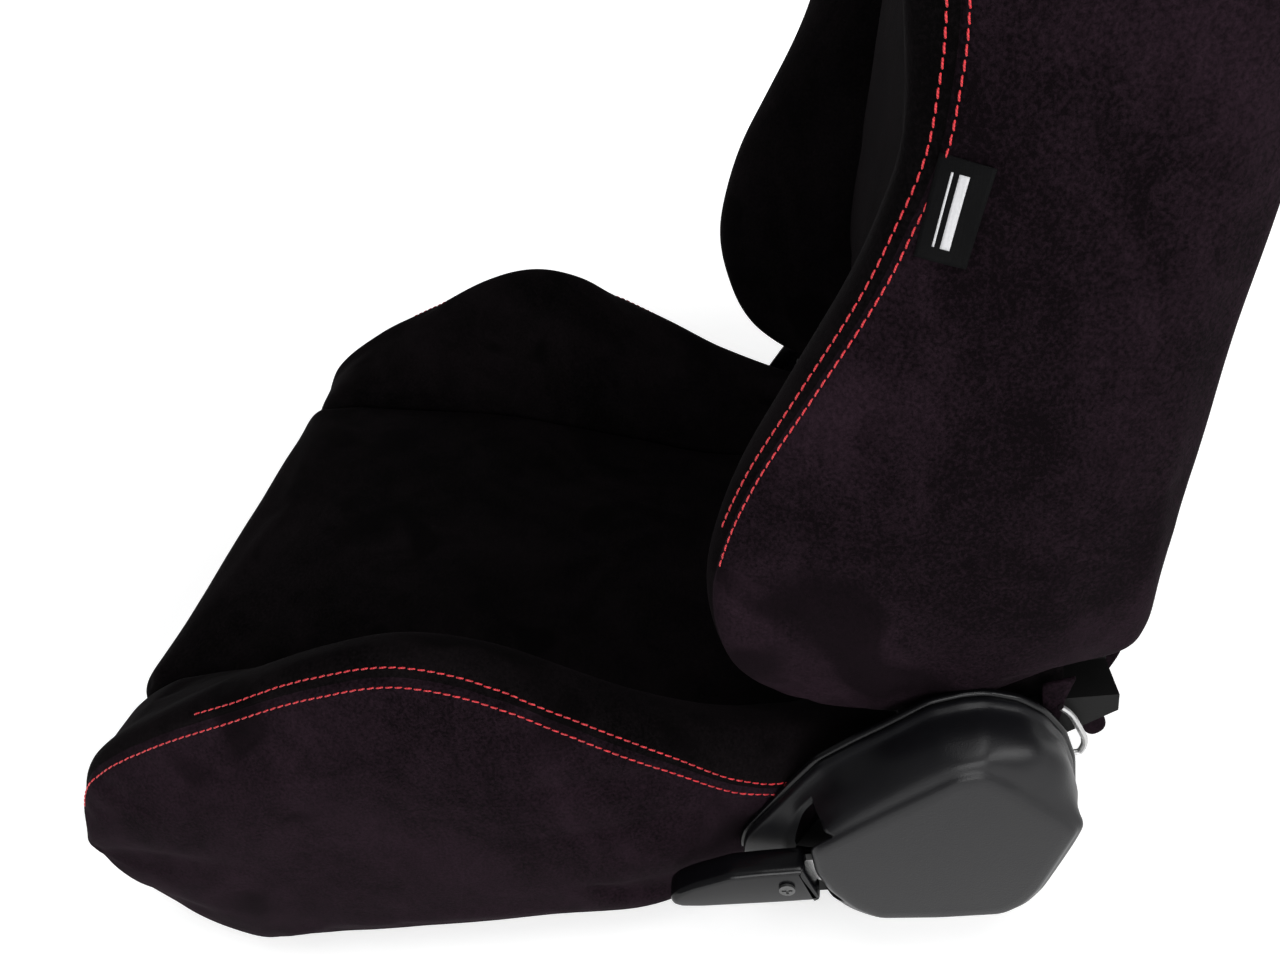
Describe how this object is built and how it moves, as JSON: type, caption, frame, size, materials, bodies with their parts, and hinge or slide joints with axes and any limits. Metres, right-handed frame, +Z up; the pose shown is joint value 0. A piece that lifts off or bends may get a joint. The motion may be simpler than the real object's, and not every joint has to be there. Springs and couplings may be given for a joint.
{
  "type": "reclining sports seat",
  "caption": "Reclining sports seat with raised cushion and back bolsters, harness slots, side recliners under domed covers, a release lever and a steel base frame.",
  "frame": {"origin": "on the mounting plane under the rails, at the middle of the seat's bounding box", "axes": "+X towards the sitter's left, the side with the release lever; -Y to the front; +Z up"},
  "size_m": [0.568, 0.7624, 0.935],
  "materials": {
    "suede": "matte",
    "label_fabric": "satin",
    "cover_plastic": "satin",
    "inner_cover_plastic": "gloss",
    "grip_plastic": "satin",
    "bezel_plastic": "satin",
    "black_steel": "satin",
    "spring_steel": "satin",
    "bright_steel": "satin"
  },
  "bodies": {
    "base": {"mounting_rail_left": "black_steel", "mounting_rail_right": "black_steel", "cushion_side_frame_left": "black_steel", "cushion_side_frame_right": "black_steel", "front_cross_tube": "black_steel", "middle_cross_tube": "black_steel", "rear_cross_tube": "black_steel", "cushion_spring_1": "spring_steel", "cushion_spring_2": "spring_steel", "cushion_spring_3": "spring_steel", "cushion_spring_4": "spring_steel", "cushion_bolster_left": "suede", "cushion_bolster_right": "suede", "cushion_pad": "suede", "recliner_lower_plate_left": "black_steel", "recliner_lower_plate_right": "black_steel", "recliner_inner_cover_left": "inner_cover_plastic", "recliner_inner_cover_right": "inner_cover_plastic", "recliner_cover_left": "cover_plastic", "recliner_cover_right": "cover_plastic", "pivot_bolt_left": "bright_steel", "pivot_bolt_right": "bright_steel", "return_spring_left": "spring_steel", "return_spring_right": "spring_steel", "plate_bolt_front_left": "bright_steel", "plate_bolt_front_right": "bright_steel", "plate_bolt_rear_left": "bright_steel", "plate_bolt_rear_right": "bright_steel"},
    "release": {"release_shaft": "bright_steel", "release_cam_left": "bright_steel", "release_cam_right": "bright_steel", "lever_arm": "black_steel", "lever_grip": "grip_plastic", "lever_screw": "bright_steel"},
    "pawl_left": {"pawl_left": "bright_steel"},
    "pawl_right": {"pawl_right": "bright_steel"},
    "backrest": {"recliner_arm_left": "black_steel", "recliner_arm_right": "black_steel", "backrest_frame_tube": "black_steel", "backrest_cross_tube_low": "black_steel", "backrest_cross_tube_high": "black_steel", "backrest_spring_1": "spring_steel", "backrest_spring_2": "spring_steel", "backrest_spring_3": "spring_steel", "backrest_bolster_left": "suede", "backrest_bolster_right": "suede", "backrest_pad": "suede", "head_pad": "suede", "backrest_rear_panel": "suede", "harness_bezel_left": "bezel_plastic", "harness_bezel_right": "bezel_plastic", "rear_flap": "suede", "trim_strap_left": "suede", "trim_strap_right": "suede", "trim_hook_left": "bright_steel", "trim_hook_right": "bright_steel", "sewn_label": "label_fabric"}
  },
  "joints": [
    {"name": "backrest_recline", "type": "hinge", "parent": "base", "child": "backrest", "pos_m": [0, 0.15475, 0.128], "axis": [1, 0, 0], "range_deg": [-70, 15]},
    {"name": "release_lever", "type": "hinge", "parent": "base", "child": "release", "pos_m": [0, 0.10275, 0.08], "axis": [-1, 0, 0], "range_deg": [0, 11], "stiffness_Nm_per_rad": 1.5, "springref_deg": -8.59},
    {"name": "pawl_left_swing", "type": "hinge", "parent": "base", "child": "pawl_left", "pos_m": [0.2285, 0.09875, 0.111], "axis": [1, 0, 0], "range_deg": [0, 11]},
    {"name": "pawl_right_swing", "type": "hinge", "parent": "base", "child": "pawl_right", "pos_m": [-0.2285, 0.09875, 0.111], "axis": [1, 0, 0], "range_deg": [0, 11]}
  ],
  "couplings": [
    {"joint": "pawl_left_swing", "follows": "release_lever", "ratio": 1},
    {"joint": "pawl_right_swing", "follows": "release_lever", "ratio": 1}
  ]
}
